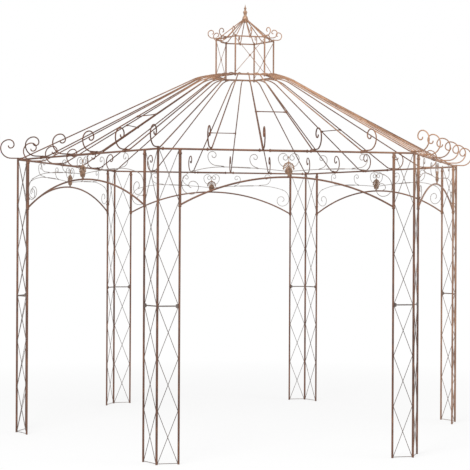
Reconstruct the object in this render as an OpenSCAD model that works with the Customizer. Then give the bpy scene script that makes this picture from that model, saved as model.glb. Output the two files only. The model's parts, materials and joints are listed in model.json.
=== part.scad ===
// Hexagonal wrought-iron garden pavilion: lattice corner posts, arched sides with wire
// scrollwork, a roof of curled rafters, and a small lantern with a turned finial.
// Origin: the middle of the plan at ground level, with one corner on +X.

/* [Plan and heights] */
// Distance from the middle to the centre line of each corner tube
corner_radius = 2000; // [1670:10:2400]
// Height of the eave beams' centre line above the ground
eave_height = 2360; // [1970:10:2840]
// Rise of the roof from the eave beams to the middle of the crown ring
roof_rise = 772; // [640:1:930]

/* [Corner posts] */
// Distance along a side from a corner tube to its side tube
post_width = 166; // [138:1:200]
// Diameter of the tube at each corner
corner_tube = 18; // [15:1:22]
// Diameter of the tubes beside the corner tubes
side_tube = 16; // [13:1:19]
// Thickness of the lattice rods
lattice_rod = 5; // [4:0.5:7]
// Crossed bays in each half of a lattice
lattice_bays = 3; // [2:1:4]
// Height of the lowest lattice rod above the ground
lattice_foot = 8; // [6:1:40]
// Length of the block where the two halves of a post are bolted together
joint_block = 18; // [14:1:22]
// Height of each of its two halves
block_height = 13; // [9:1:18]

/* [Eave beams] */
// Diameter of an eave beam
beam_tube = 15; // [13:1:18]
// Length of the coupling at the middle of a beam
coupling_length = 300; // [200:10:360]
// Wall of the coupling
coupling_wall = 1.5; // [1:0.5:3]
// Length of the clamp ring at each end of the coupling
clamp_length = 10; // [6:1:14]
// Height of a clamp ring over the coupling
clamp_wall = 3; // [2:0.5:4]

/* [Arches] */
// Diameter of the arch tube
arch_tube = 14; // [11:1:17]
// Drop from the eave beam's centre line to the top of an arch's centre line
arch_drop = 200; // [196:1:215]
// Rise of an arch over its ends
arch_rise = 220; // [190:1:265]
// Wall of the sleeves that join an arch to the side tubes
sleeve_wall = 2.8; // [2:0.1:4]
// Length of a sleeve below the end of its arch
sleeve_tail = 14; // [10:1:30]

/* [Scrollwork] */
// Thickness of the scroll wire
wire = 5; // [4:0.5:6]
// Distance along a side from the highest point of the long vine to the sleeve
vine_shoulder = 319; // [300:1:335]
// Drop from the eave beam's centre line to the vine's highest point
vine_drop = 130; // [126:1:134]
// Fall of the vine from its highest point to the palmette
vine_dip = 24; // [18:1:30]
// Fall of the vine from its highest point to where it meets the sleeve
vine_fall = 135; // [125:1:150]
// Radius of the vine's bend beside the sleeve
vine_bend = 100; // [80:1:110]
// Length of the clips on the vine
clip_length = 12; // [8:1:16]
// Wall of the clips
clip_wall = 1.5; // [1:0.5:2]
// Radii of the quarter turns that end the vine in the corner
corner_curl = [73, 54, 44, 30, 18];
// Stretch over which the vine is lapped, as shares of the way to its highest point
vine_lap = [0.59, 0.88];
// Wall that the lap adds round the wire
lap_wall = 2; // [1:0.5:3]
// Straight length of the outer curl, which starts at the vine's highest point
outer_lead = 60; // [40:1:70]
// Angle at which the outer curl leaves the vine
outer_lean = 5; // [3:1:8]
// Radii of the outer curl's quarter turns
outer_curl = [68, 34, 28, 17, 14];
// Place of the inner curl's start, as a share of the way to the vine's highest point
inner_place = 0.48; // [0.44:0.01:0.52]
// Radii of the quarter turns of the inner curl
inner_curl = [65, 34, 23, 15, 12];
// Distance from the middle of a side to the outside of the curl beside the palmette
flank_reach = 81; // [79:1:88]
// Drop from the eave beam's centre line to the top of that curl
flank_drop = 20; // [16:1:24]
// Radius of the curl's long arm
flank_arm = 70; // [64:1:80]
// Radii of the curl's quarter turns
flank_curl = [38, 34, 17, 17, 17];

/* [Palmettes] */
// Radius of the fan's rim
fan_radius = 42; // [40:1:45]
// Width of the rim
fan_rim = 6; // [5:0.5:7]
// Ribs in the fan
fan_ribs = 7; // [5:2:9]
// Width of a rib
rib_width = 3; // [2:0.5:4]
// Angle of the lowest ribs above a level line
rib_start = 8; // [5:1:12]
// Radius of the scallops between the ribs
scallop_radius = 9; // [7:0.5:10]
// Height of the fan's centre above the arch
fan_rise = 62; // [60:1:65]
// Thickness of the fan
fan_plate = 4; // [3:1:6]
// Thickness of the cup under the fan
cup_plate = 8; // [6:1:12]
// Half width of the cup
cup_reach = 30; // [26:1:34]
// Height of the cup's lip above the arch
cup_height = 66; // [62:1:68]
// Width of the neck under the cup
neck_width = 16; // [12:1:20]
// Height of that neck
neck_height = 12; // [8:1:16]
// Height of the fan's pointed tip above its rim
tip_rise = 13; // [8:1:15]
// Height of the bud above the fan's centre
bud_rise = 82; // [78:1:86]
// Half width and half height of the bud
bud_size = [5, 10];

/* [Roof] */
// Diameter of a rafter
rafter_rod = 10; // [8:0.5:12]
// Bays between rafters along one side
roof_bays = 5; // [3:2:7]
// Length of a rafter's level part at the crown ring
crown_level = 70; // [40:5:120]
// Radius of a rafter's bend near the crown ring
crown_bend = 300; // [200:10:400]
// Radius of a rafter's bend over the eave beam
foot_bend = 100; // [60:5:140]
// Level length inside the eave beam's centre line
foot_seat = 12; // [10:1:30]
// Level length outside the eave beam's centre line
foot_reach = 60; // [40:1:80]
// Radii of the quarter turns of a rafter's curled end
foot_curl = [88, 72, 42, 30, 18];
// Thickness of the cross bar in the middle bay
cross_bar = 8; // [6:0.5:10]
// Place of the cross bar up the slope, as a share of the straight length
cross_place = 0.47; // [0.3:0.01:0.6]

/* [Crown and lantern] */
// Distance from the middle to each lantern post
lantern_radius = 262; // [218:1:315]
// Thickness of the crown ring's square bar
crown_bar = 14; // [12:1:18]
// Diameter of a lantern post
lantern_post = 14; // [10:1:14]
// Length of a lantern post
lantern_height = 320; // [260:5:380]
// Thickness of the lantern's crossed rods
brace_rod = 5; // [4:0.5:7]
// Thickness of the square ring on the posts
cap_bar = 10; // [8:1:14]
// Diameter of a cap rod
cap_rod = 8; // [6:0.5:9]
// Number of cap rods
cap_rods = 12; // [6:6:12]
// Rise of the cap rods to the finial
cap_rise = 170; // [130:5:220]
// Radius of a cap rod's bend over the ring
cap_bend = 40; // [25:5:60]
// Level length of a cap rod inside the ring
cap_seat = 8; // [6:1:14]
// Level length of a cap rod outside the ring
cap_reach = 36; // [20:1:45]
// Radii of the quarter turns of a cap rod's curled end
cap_curl = [38, 30, 20, 12];

/* [Finial] */
// Radius of the collar that the cap rods meet
collar_radius = 24; // [22:1:28]
// Height of that collar
collar_height = 30; // [24:1:36]
// Turned shape above the collar: height and radius at each swell and waist
finial_turning = [[0, 27], [10, 26], [48, 12], [70, 20], [93, 8], [106, 13], [116, 5], [141, 0.5]];

/* [Hidden] */
$fn = 64;
seat = 0.15;
sides = 6;
turn = 360 / sides;
apothem = corner_radius * cos(turn / 2);
half_side = corner_radius / 2;
half_span = half_side - post_width;
beam_underside = eave_height - beam_tube / 2;
beam_top = eave_height + beam_tube / 2;
coupling_tube = beam_tube + 2 * coupling_wall;
sleeve_tube = side_tube + 2 * (seat + sleeve_wall);
arch_radius = (half_span * half_span + arch_rise * arch_rise) / (2 * arch_rise);
arch_foot = eave_height - arch_drop - arch_rise;
arch_top = eave_height - arch_drop + arch_tube / 2;
sleeve_foot = arch_foot - sleeve_tail;
vine_height = eave_height - vine_drop;
vine_end = half_span - sleeve_tube / 2 - wire / 2 - seat;
vine_crest = vine_end - vine_shoulder;
vine_start = cup_reach + seat + wire * vine_dip / vine_crest;
vine_run = vine_crest - vine_start;
vine_radius = (vine_run * vine_run + vine_dip * vine_dip) / (2 * vine_dip);
shoulder_angle = 2 * atan((vine_fall - vine_bend) / (vine_shoulder - vine_bend));
shoulder_radius = vine_bend + (vine_shoulder - vine_bend) / sin(shoulder_angle);
fan_centre = arch_top + seat + fan_rise;
cup_waist = vine_height - vine_dip - arch_top - seat;
rib_step = (180 - 2 * rib_start) / (fan_ribs - 1);
scallop_place = fan_radius - scallop_radius / 2;
rafter_foot = beam_top + rafter_rod / 2 + seat;
crown_height = eave_height + roof_rise;
lantern_foot = crown_height + crown_bar / 2;
cap_ring = lantern_foot + lantern_height;
cap_foot = cap_ring + cap_bar + cap_rod / 2 + seat;
joint_step = 0.3;
joint_length = 6;
gap = 1;
sink = 2;
overlap = 4;
flat = 30;

// Distance from the middle to the edge of a hexagon, in a direction given in degrees
function reach(radius, angle) = radius * cos(turn / 2) / cos(angle % turn - turn / 2);
// Centre of one quarter turn of a curl that starts at the origin along +X
function curl_centre(radii, i) = i == 0 ? [0, radii[0]]
  : curl_centre(radii, i - 1) + (radii[i - 1] - radii[i]) * [cos(90 * (i - 1)), sin(90 * (i - 1))];
// Angle by which a bend stops short of the next rod, inside the weld that joins them
function short_of(radius) = asin(gap / radius);
// Angle round the long vine's centre from its highest point to a share of the way there
function vine_lean(share) = asin((1 - share) * vine_crest / vine_radius);
// Length and slope of the straight between two bends that add up to one radius
function slope_length(run, rise, bends) = sqrt(run * run + pow(rise - bends, 2) - bends * bends);
function slope_angle(run, rise, bends) =
  atan2(rise - bends, run) + atan2(bends, slope_length(run, rise, bends));

// Direction, from one circle's centre, of the point on it at a distance from another centre
function meeting_angle(from, radius, at, distance) =
  let (away = at - from)
  atan2(away.y, away.x)
    + acos((away * away + radius * radius - distance * distance) / (2 * norm(away) * radius));

// Length and slope of a rafter's straight stretch
function rafter_run(angle) =
  reach(corner_radius, angle) - foot_seat - reach(lantern_radius, angle) - crown_level;
function rafter_length(angle) =
  slope_length(rafter_run(angle), crown_height - rafter_foot, crown_bend + foot_bend);
function rafter_slope(angle) =
  slope_angle(rafter_run(angle), crown_height - rafter_foot, crown_bend + foot_bend);

// One side's frame: X along the side, Y up, Z outward, with the origin under its middle
module on_side(k, distance = apothem) {
  rotate((k - 0.5) * turn) translate([distance, 0, 0]) rotate([90, 0, 90]) children();
}

// A vertical plane through the middle of the plan: X outward, Y up
module on_spoke(angle) {
  rotate(angle) rotate([90, 0, 0]) children();
}

module both_ways() {
  children();
  mirror([1, 0, 0]) children();
}

// Round rod along +X from the origin
module rod(length, thickness) {
  rotate([0, 90, 0]) cylinder(h = length, d = thickness);
}

// Ground weld that joins a bend and a straight at the origin, along X
module joint(thickness) {
  translate([-joint_length / 2, 0, 0]) rod(joint_length, thickness + 2 * joint_step);
}

// Round rod bent about the origin, from one direction to another
module bend(radius, from, to, thickness) {
  rotate(from) rotate_extrude(angle = to - from) translate([radius, 0]) circle(d = thickness);
}

// Curl of quarter turns, from the origin along +X and then to the left
module curl(radii, thickness) {
  for (i = [0:len(radii) - 1])
    translate(curl_centre(radii, i)) bend(radii[i], 90 * i - 90, 90 * i, thickness);
}

// Eight-sided lattice rod between two points of the XY plane, a little past both
module lattice_bar(from, to, thickness) {
  run = to - from;
  translate(from) rotate(atan2(run.y, run.x)) translate([-overlap, 0, 0]) rotate([0, 90, 0])
    cylinder(h = norm(run) + 2 * overlap, d = thickness, $fn = 8);
}

// Crossed rods that fill a frame of some bays, from one edge to the other
module crossed_bays(left, right, bottom, top, bays, thickness) {
  pitch = (top - bottom) / bays;
  for (i = [0:bays - 1]) {
    lattice_bar([left, bottom + i * pitch], [right, bottom + (i + 1) * pitch], thickness);
    lattice_bar([right, bottom + i * pitch], [left, bottom + (i + 1) * pitch], thickness);
  }
}

// What lies inside an outline
module trimmed(outline) {
  intersection() {
    linear_extrude(2 * flat, center = true) polygon(outline);
    union() children();
  }
}

module side_tube_upright() {
  difference() {
    cylinder(h = eave_height, d = side_tube);
    translate([0, 0, eave_height]) rotate([90, 0, 0])
      cylinder(h = 2 * side_tube, d = beam_tube + 2 * seat, center = true);
  }
}

// Three tubes: one at the corner and one in each of the two sides that meet there
module post(k) {
  color("saddlebrown") rotate((k - 1) * turn) translate([corner_radius, 0, 0]) {
    cylinder(h = beam_top, d = corner_tube);
    for (side = [-1, 1])
      rotate(side * turn / 2) translate([0, side * post_width, 0]) side_tube_upright();
  }
}

// Lower or upper half of a lattice: crossed rods from one height to another, level rods at
// some heights, and a block beside the side tube, all cut to the space between the tubes
module lattice_section(outline, from, to, rods, block_at) {
  left = corner_tube / 2;
  right = post_width - side_tube / 2;
  trimmed(outline) {
    crossed_bays(left - sink, right + sink, from, to, lattice_bays, lattice_rod);
    for (height = rods) lattice_bar([left, height], [right, height], lattice_rod);
  }
  translate([right - seat - joint_block, block_at, -lattice_rod])
    cube([joint_block, block_height, 2 * lattice_rod]);
}

// Two sections that are bolted together at mid height. The upper one is narrower beside the
// arch's sleeve, which is wider than its tube.
module lattice(k, end) {
  left = corner_tube / 2 + seat;
  right = post_width - side_tube / 2 - seat;
  narrow = post_width - sleeve_tube / 2 - seat;
  foot = lattice_foot - lattice_rod / 2;
  middle = (lattice_foot + eave_height) / 2;
  below = middle - seat / 2;
  above = middle + seat / 2;
  below_rod = below - lattice_rod / 2;
  above_rod = above + lattice_rod / 2;
  notch = sleeve_foot - seat;
  head = beam_underside - seat;
  lower = [[left, foot], [right, foot], [right, below], [left, below]];
  upper = [[left, above], [right, above], [right, notch], [narrow, notch], [narrow, head], [left, head]];
  color("sienna") on_side(k) mirror([end == "right" ? 1 : 0, 0, 0])
    translate([-half_side, 0, 0]) {
      lattice_section(lower, lattice_foot, below_rod, [lattice_foot, below_rod], below - block_height);
      lattice_section(upper, above_rod, eave_height, [above_rod], above);
    }
}

// One beam with its coupling and clamp rings, turned about its own centre line
module eave_beam() {
  tube = beam_tube / 2;
  sleeve = coupling_tube / 2;
  ring = sleeve + clamp_wall;
  inner = coupling_length / 2 - clamp_length;
  outer = coupling_length / 2;
  half = [[tube, half_side], [tube, outer], [ring, outer], [ring, inner], [sleeve, inner]];
  other = [for (i = [len(half) - 1:-1:0]) [half[i].x, -half[i].y]];
  rotate([0, 90, 0]) rotate_extrude()
    polygon(concat([[0, half_side]], half, other, [[0, -half_side]]));
}

module eave_beams() {
  color("saddlebrown") for (k = [1:sides]) on_side(k) difference() {
    translate([0, eave_height, 0]) eave_beam();
    for (x = [-half_side, half_side])
      translate([x, eave_height, 0]) rotate([90, 0, 0])
        cylinder(h = 2 * beam_tube, d = corner_tube + 2 * seat, center = true);
  }
}

// Arch tube between two sleeves that slip over the side tubes
module arch(k) {
  lean = asin(half_span / arch_radius);
  sleeve_length = beam_underside - seat - sleeve_foot;
  color("saddlebrown") on_side(k) difference() {
    union() {
      translate([0, arch_foot + arch_rise - arch_radius, 0])
        bend(arch_radius, 90 - lean, 90 + lean, arch_tube);
      for (x = [-half_span, half_span])
        translate([x, sleeve_foot, 0]) rotate([-90, 0, 0])
          cylinder(h = sleeve_length, d = sleeve_tube);
    }
    for (x = [-half_span, half_span])
      translate([x, sleeve_foot - seat, 0]) rotate([-90, 0, 0])
        cylinder(h = sleeve_length + 2 * seat, d = side_tube + 2 * seat);
  }
}

// Clip round a wire at the origin, which runs along X
module clip() {
  translate([-clip_length / 2, 0, 0]) rod(clip_length, wire + 2 * clip_wall);
}

// Long vine from the palmette over its crest and down beside the sleeve to a curl
module vine() {
  rise = 90 - shoulder_angle;
  lap = [vine_lean(vine_lap[1]), vine_lean(vine_lap[0])];
  translate([vine_crest, vine_height - vine_radius, 0]) {
    bend(vine_radius, 90 + short_of(vine_radius), 90 + asin(vine_run / vine_radius), wire);
    rotate(lap[0]) bend(vine_radius, 90, 90 + lap[1] - lap[0], wire + 2 * lap_wall);
    rotate(vine_lean(inner_place)) translate([0, vine_radius, 0]) clip();
  }
  translate([vine_crest, vine_height, 0]) clip();
  translate([vine_crest, vine_height - shoulder_radius, 0]) {
    bend(shoulder_radius, rise + short_of(shoulder_radius), 90 - short_of(shoulder_radius), wire);
    rotate(-shoulder_angle) translate([0, shoulder_radius, 0]) clip();
  }
  translate([vine_end, vine_height - vine_fall, 0]) {
    translate([-vine_bend, 0, 0]) bend(vine_bend, 0, rise - short_of(vine_bend), wire);
    rotate(-90) mirror([0, 1, 0]) curl(corner_curl, wire);
  }
}

// Curl that rises from the vine's crest towards the eave beam
module outer_scroll() {
  translate([vine_crest, vine_height + wire + seat, 0]) rotate(outer_lean) {
    rod(outer_lead, wire);
    translate([outer_lead, 0, 0]) curl(outer_curl, wire);
  }
}

// Curl that leaves the vine between the palmette and the crest
module inner_scroll() {
  translate([vine_crest, vine_height - vine_radius, 0]) rotate(vine_lean(inner_place))
    translate([0, vine_radius + wire + seat, 0]) curl(inner_curl, wire);
}

// Curl that springs from a scallop on the palmette's side and turns in over it
module flank_scroll() {
  shoulder = [flank_reach, eave_height - flank_drop - flank_curl[0]];
  arm_centre = shoulder - [flank_arm, 0];
  sweep = meeting_angle(arm_centre, flank_arm, [0, fan_centre], fan_radius);
  difference() {
    translate(arm_centre) bend(flank_arm, 0, sweep, wire);
    translate([0, fan_centre, 0]) rotate(rib_start + rib_step / 2) translate([scallop_place, 0, 0])
      cylinder(h = 2 * wire, r = scallop_radius + seat, center = true);
  }
  translate(shoulder) rotate(90) curl(flank_curl, wire);
}

module scrollwork(k) {
  color("rosybrown") on_side(k) both_ways() {
    vine();
    outer_scroll();
    inner_scroll();
    flank_scroll();
  }
}

// Fan of ribs inside a rim with a scallop between each pair, open between the ribs
module fan() {
  base = -1.5 * scallop_radius;
  difference() {
    union() {
      circle(r = fan_radius);
      for (i = [0:fan_ribs])
        rotate(rib_start + (i - 0.5) * rib_step) translate([scallop_place, 0]) circle(r = scallop_radius);
    }
    difference() {
      circle(r = fan_radius - fan_rim);
      circle(r = fan_radius / 5);
      for (i = [0:fan_ribs - 1])
        rotate(rib_start + i * rib_step) translate([0, -rib_width / 2]) square([fan_radius, rib_width]);
    }
    translate([-2 * fan_radius, base - 2 * fan_radius]) square([4 * fan_radius, 2 * fan_radius]);
  }
}

// Flat cup on a neck, widest where the vines meet it
module cup() {
  neck = neck_width / 2;
  half = [[neck, 0], [neck, neck_height], [0.8 * cup_reach, neck_height + fan_plate / 2],
    [cup_reach, cup_waist], [0.85 * cup_reach, 0.8 * cup_height], [0.6 * cup_reach, cup_height]];
  other = [for (i = [len(half) - 1:-1:0]) [-half[i].x, half[i].y]];
  polygon(concat(half, other));
}

// Bud pointed at both ends
module bud() {
  radius = (bud_size * bud_size) / (2 * bud_size.x);
  intersection_for(side = [-1, 1])
    translate([side * (radius - bud_size.x), 0]) circle(r = radius);
}

module palmette() {
  stem = rib_width / 2;
  tip = fan_radius + tip_rise;
  translate([0, arch_top + seat, 0]) {
    linear_extrude(cup_plate, center = true) cup();
    translate([0, fan_rise, 0]) linear_extrude(fan_plate, center = true) {
      fan();
      polygon([[-scallop_radius, fan_radius - fan_rim / 2], [scallop_radius, fan_radius - fan_rim / 2],
        [stem, tip], [-stem, tip]]);
      translate([-stem, tip - stem]) square([2 * stem, bud_rise - tip]);
      translate([0, bud_rise]) bud();
    }
  }
}

module palmettes() {
  color("peru") for (k = [1:sides]) on_side(k) palmette();
}

// Rod that leaves the crown level, slopes down, and runs level over the beam to its curl
module rafter(angle) {
  inner = reach(lantern_radius, angle);
  outer = reach(corner_radius, angle);
  length = rafter_length(angle);
  slope = rafter_slope(angle);
  difference() {
    on_spoke(angle) {
      translate([inner + crown_level, crown_height, 0]) {
        mirror([1, 0, 0]) rod(crown_level, rafter_rod);
        translate([0, -crown_bend, 0]) {
          bend(crown_bend, 90, 90 - slope + short_of(crown_bend), rafter_rod);
          rotate(-slope) translate([0, crown_bend, 0]) {
            joint(rafter_rod);
            translate([gap, 0, 0]) rod(length - 2 * gap, rafter_rod);
            translate([length, 0, 0]) joint(rafter_rod);
          }
        }
      }
      translate([outer - foot_seat, rafter_foot, 0]) {
        translate([0, foot_bend, 0])
          bend(foot_bend, 270, 270 - slope + short_of(foot_bend), rafter_rod);
        rod(foot_seat + foot_reach, rafter_rod);
        translate([foot_seat + foot_reach, 0, 0]) curl(foot_curl, rafter_rod);
      }
    }
    translate([0, 0, crown_height]) crown_clearance();
  }
}

// Prism a little wider than the crown ring, to which the rafters are cut
module crown_clearance() {
  cylinder(h = 4 * rafter_rod, r = lantern_radius + (crown_bar / 2 + seat) / cos(turn / 2),
           center = true, $fn = sides);
}

// Bar between the two rafters of the middle bay, level with the ground
module middle_bar(k) {
  aside = atan2(half_side / roof_bays, apothem);
  angle = (k - 0.5) * turn + aside;
  length = rafter_length(angle);
  slope = rafter_slope(angle);
  out = reach(corner_radius, angle) - foot_seat - foot_bend * sin(slope) - cross_place * length * cos(slope);
  up = rafter_foot + foot_bend * (1 - cos(slope)) + cross_place * length * sin(slope);
  half = out * sin(aside) - rafter_rod / 2 / cos(aside) - cross_bar / 2 * tan(aside) - seat;
  on_side(k, out * cos(aside)) translate([-half, up, 0]) rod(2 * half, cross_bar);
}

module roof(k) {
  color("dimgray") {
    for (i = [0:roof_bays - 1])
      rafter((k - 0.5) * turn + atan2((i / roof_bays - 0.5) * corner_radius, apothem));
    middle_bar(k);
  }
}

module crown_ring() {
  color("saddlebrown") translate([0, 0, crown_height]) hexagon_ring(crown_bar);
}

// Hexagonal ring of square bar whose centre line passes through the lantern posts
module hexagon_ring(bar) {
  linear_extrude(bar, center = true) difference() {
    circle(r = lantern_radius + bar / 2 / cos(turn / 2), $fn = sides);
    circle(r = lantern_radius - bar / 2 / cos(turn / 2), $fn = sides);
  }
}

// Two lantern posts with crossed rods between them
module lantern_side(k) {
  edge = lantern_radius / 2;
  color("saddlebrown") on_side(k, lantern_radius * cos(turn / 2)) translate([0, lantern_foot, 0]) {
    for (x = [-edge, edge])
      translate([x, 0, 0]) rotate([-90, 90, 0]) cylinder(h = lantern_height, d = lantern_post);
    crossed_bays(-edge, edge, lantern_post / 2, lantern_height - lantern_post / 2, 1, brace_rod);
  }
}

module cap_ring() {
  color("saddlebrown") translate([0, 0, cap_ring + cap_bar / 2]) hexagon_ring(cap_bar);
}

// Rod that slopes from the finial's collar to the ring and curls outside it
module cap_rod_curled(angle) {
  outer = reach(lantern_radius, angle);
  run = outer - cap_seat - collar_radius;
  length = slope_length(run, cap_rise, cap_bend);
  slope = slope_angle(run, cap_rise, cap_bend);
  difference() {
    on_spoke(angle) translate([outer - cap_seat, cap_foot, 0]) {
      translate([0, cap_bend, 0]) {
        bend(cap_bend, 270, 270 - slope + short_of(cap_bend), cap_rod);
        rotate(-slope) translate([0, -cap_bend, 0]) {
          joint(cap_rod);
          mirror([1, 0, 0]) translate([gap, 0, 0]) rod(length + overlap, cap_rod);
        }
      }
      rod(cap_seat + cap_reach, cap_rod);
      translate([cap_seat + cap_reach, 0, 0]) curl(cap_curl, cap_rod);
    }
    translate([0, 0, cap_foot]) cylinder(h = 2 * cap_rise, r = collar_radius + seat);
  }
}

module cap_rods() {
  color("dimgray") for (i = [0:cap_rods - 1]) cap_rod_curled(i * 360 / cap_rods);
}

// Turned shape: each stretch between two heights swells or narrows smoothly
module finial() {
  steps = 6;
  outline = [for (i = [0:len(finial_turning) - 2], j = [0:steps - 1])
    let (a = finial_turning[i], b = finial_turning[i + 1], t = j / steps)
    [a[1] + (b[1] - a[1]) * (1 - cos(180 * t)) / 2, a[0] + (b[0] - a[0]) * t]];
  top = finial_turning[len(finial_turning) - 1];
  base = [[0, -collar_height], [collar_radius, -collar_height], [collar_radius, 0]];
  color("peru") translate([0, 0, cap_foot + cap_rise + collar_height / 3])
    rotate_extrude() polygon(concat(base, outline, [[top[1], top[0]], [0, top[0]]]));
}

for (k = [1:sides]) {
  post(k);
  arch(k);
  scrollwork(k);
  roof(k);
  for (end = ["left", "right"])
    lattice(k, end);
}
for (k = [1:2:sides])
  lantern_side(k);
eave_beams();
palmettes();
crown_ring();
cap_ring();
cap_rods();
finial();
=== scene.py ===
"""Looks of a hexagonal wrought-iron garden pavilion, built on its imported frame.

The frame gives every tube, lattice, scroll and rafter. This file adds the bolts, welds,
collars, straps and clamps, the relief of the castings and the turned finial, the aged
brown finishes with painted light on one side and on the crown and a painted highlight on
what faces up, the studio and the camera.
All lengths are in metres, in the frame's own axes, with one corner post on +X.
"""

import json
import logging
import math
from dataclasses import dataclass
from enum import Enum
from typing import Iterator, Sequence

import bmesh
import bpy
from mathutils import Matrix, Vector

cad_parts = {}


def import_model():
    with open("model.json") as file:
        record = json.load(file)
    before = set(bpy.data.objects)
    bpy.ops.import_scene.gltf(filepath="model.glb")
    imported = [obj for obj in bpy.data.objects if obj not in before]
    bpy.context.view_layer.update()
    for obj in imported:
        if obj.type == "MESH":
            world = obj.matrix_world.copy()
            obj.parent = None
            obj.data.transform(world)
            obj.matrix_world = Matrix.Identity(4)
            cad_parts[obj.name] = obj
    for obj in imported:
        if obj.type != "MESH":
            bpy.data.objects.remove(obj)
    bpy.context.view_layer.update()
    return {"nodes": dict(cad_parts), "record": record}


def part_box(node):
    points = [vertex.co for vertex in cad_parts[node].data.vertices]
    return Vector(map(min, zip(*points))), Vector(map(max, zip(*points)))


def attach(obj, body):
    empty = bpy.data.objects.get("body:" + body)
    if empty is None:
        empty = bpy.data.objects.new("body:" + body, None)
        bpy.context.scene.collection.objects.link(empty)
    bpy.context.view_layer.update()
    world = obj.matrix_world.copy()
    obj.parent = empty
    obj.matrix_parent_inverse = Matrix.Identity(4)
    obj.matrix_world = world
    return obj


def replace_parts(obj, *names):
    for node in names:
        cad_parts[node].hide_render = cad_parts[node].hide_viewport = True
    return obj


LOG = logging.getLogger("pavilion")
SIDES = 6
TURN = 2 * math.pi / SIDES
UP = Vector((0.0, 0.0, 1.0))
ENDS = (-1, 1)
# Turns that lay local Z along X, and along Y, which is up in a side's frame.
ALONG = Matrix.Rotation(math.pi / 2, 4, "Y")
UPRIGHT = Matrix.Rotation(-math.pi / 2, 4, "X")
WHITE = (1.0, 1.0, 1.0, 1.0)
Point = tuple[float, float, float]
Outline = Sequence[tuple[float, float]]
Socket = bpy.types.NodeSocket


class Slot(Enum):
    """Material slots of the record, by what they cover."""

    TUBE = "tube_iron"
    LATTICE = "lattice_iron"
    SCROLL = "scroll_iron"
    ROOF = "roof_iron"
    CAST = "cast_trim"


class Head(Enum):
    """What shows at one end of a bolt."""

    HEXAGON = "hexagon head"
    DOME = "round head"
    NUT = "nut and the bolt's own end"


Finishes = dict[Slot, bpy.types.Material]


# ---------------------------------------------------------------- finishes


class NodeSheet:
    """A small writer of shader node trees."""

    def __init__(self, tree: bpy.types.NodeTree) -> None:
        """Start with an empty tree."""
        self.tree = tree
        self.tree.nodes.clear()

    def feed(self, socket: Socket, value: object) -> None:
        """Link a socket to another, or set its value.

        Args:
            socket: Input of a node.
            value: Another socket, or the value.
        """
        if isinstance(value, bpy.types.NodeSocket):
            self.tree.links.new(value, socket)
        else:
            socket.default_value = value

    def add(self, kind: str, *inputs: object, **settings: object) -> bpy.types.Node:
        """Add one node.

        Args:
            kind: Node type name, without the ShaderNode prefix.
            inputs: What feeds its first inputs, in order.
            settings: Attributes of the node, or inputs where the name starts with "in_".

        Returns:
            The new node.
        """
        node = self.tree.nodes.new(kind if kind.startswith("Node") else "ShaderNode" + kind)
        for socket, value in zip(node.inputs, inputs):
            self.feed(socket, value)
        for key, value in settings.items():
            if key.startswith("in_"):
                self.feed(node.inputs[key[3:].replace("_", " ")], value)
            else:
                setattr(node, key, value)
        return node

    def mix(self, factor: object, first: object, second: object) -> Socket:
        """Blend two colours.

        Args:
            factor: Share of the second colour.
            first: First colour or socket.
            second: Second colour or socket.

        Returns:
            The blended colour.
        """
        node = self.add("Mix", data_type="RGBA")
        for index, value in ((0, factor), (6, first), (7, second)):
            self.feed(node.inputs[index], value)
        return node.outputs[2]

    def math(self, operation: str, first: object, second: object = 0.0) -> Socket:
        """Combine two values."""
        return self.add("Math", first, second, operation=operation).outputs[0]

    def times(self, first: object, second: object) -> Socket:
        """Multiply two values."""
        return self.math("MULTIPLY", first, second)

    def most(self, first: object, second: object) -> Socket:
        """Take the greater of two values."""
        return self.math("MAXIMUM", first, second)

    def ramp(self, value: object, low: float, high: float, start: float = 0.0, end: float = 1.0) -> Socket:
        """Stretch a value from low to high into start to end, and clamp it."""
        return self.add("MapRange", value, low, high, start, end).outputs[0]

    def noise(self, place: Socket, scale: object, detail: float, roughness: float = 0.5) -> Socket:
        """Noise at a place, with a number of features in a metre and of finer layers."""
        return self.add("TexNoise", in_Vector=place, in_Scale=scale, in_Detail=detail,
                        in_Roughness=roughness).outputs[0]

    def backdrop_rays(self) -> Socket:
        """Mask of the rays that see the background: from the camera, in metal and through glass."""
        rays = self.add("LightPath").outputs
        return self.most(rays["Is Camera Ray"], self.most(rays["Is Glossy Ray"], rays["Is Transmission Ray"]))


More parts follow.
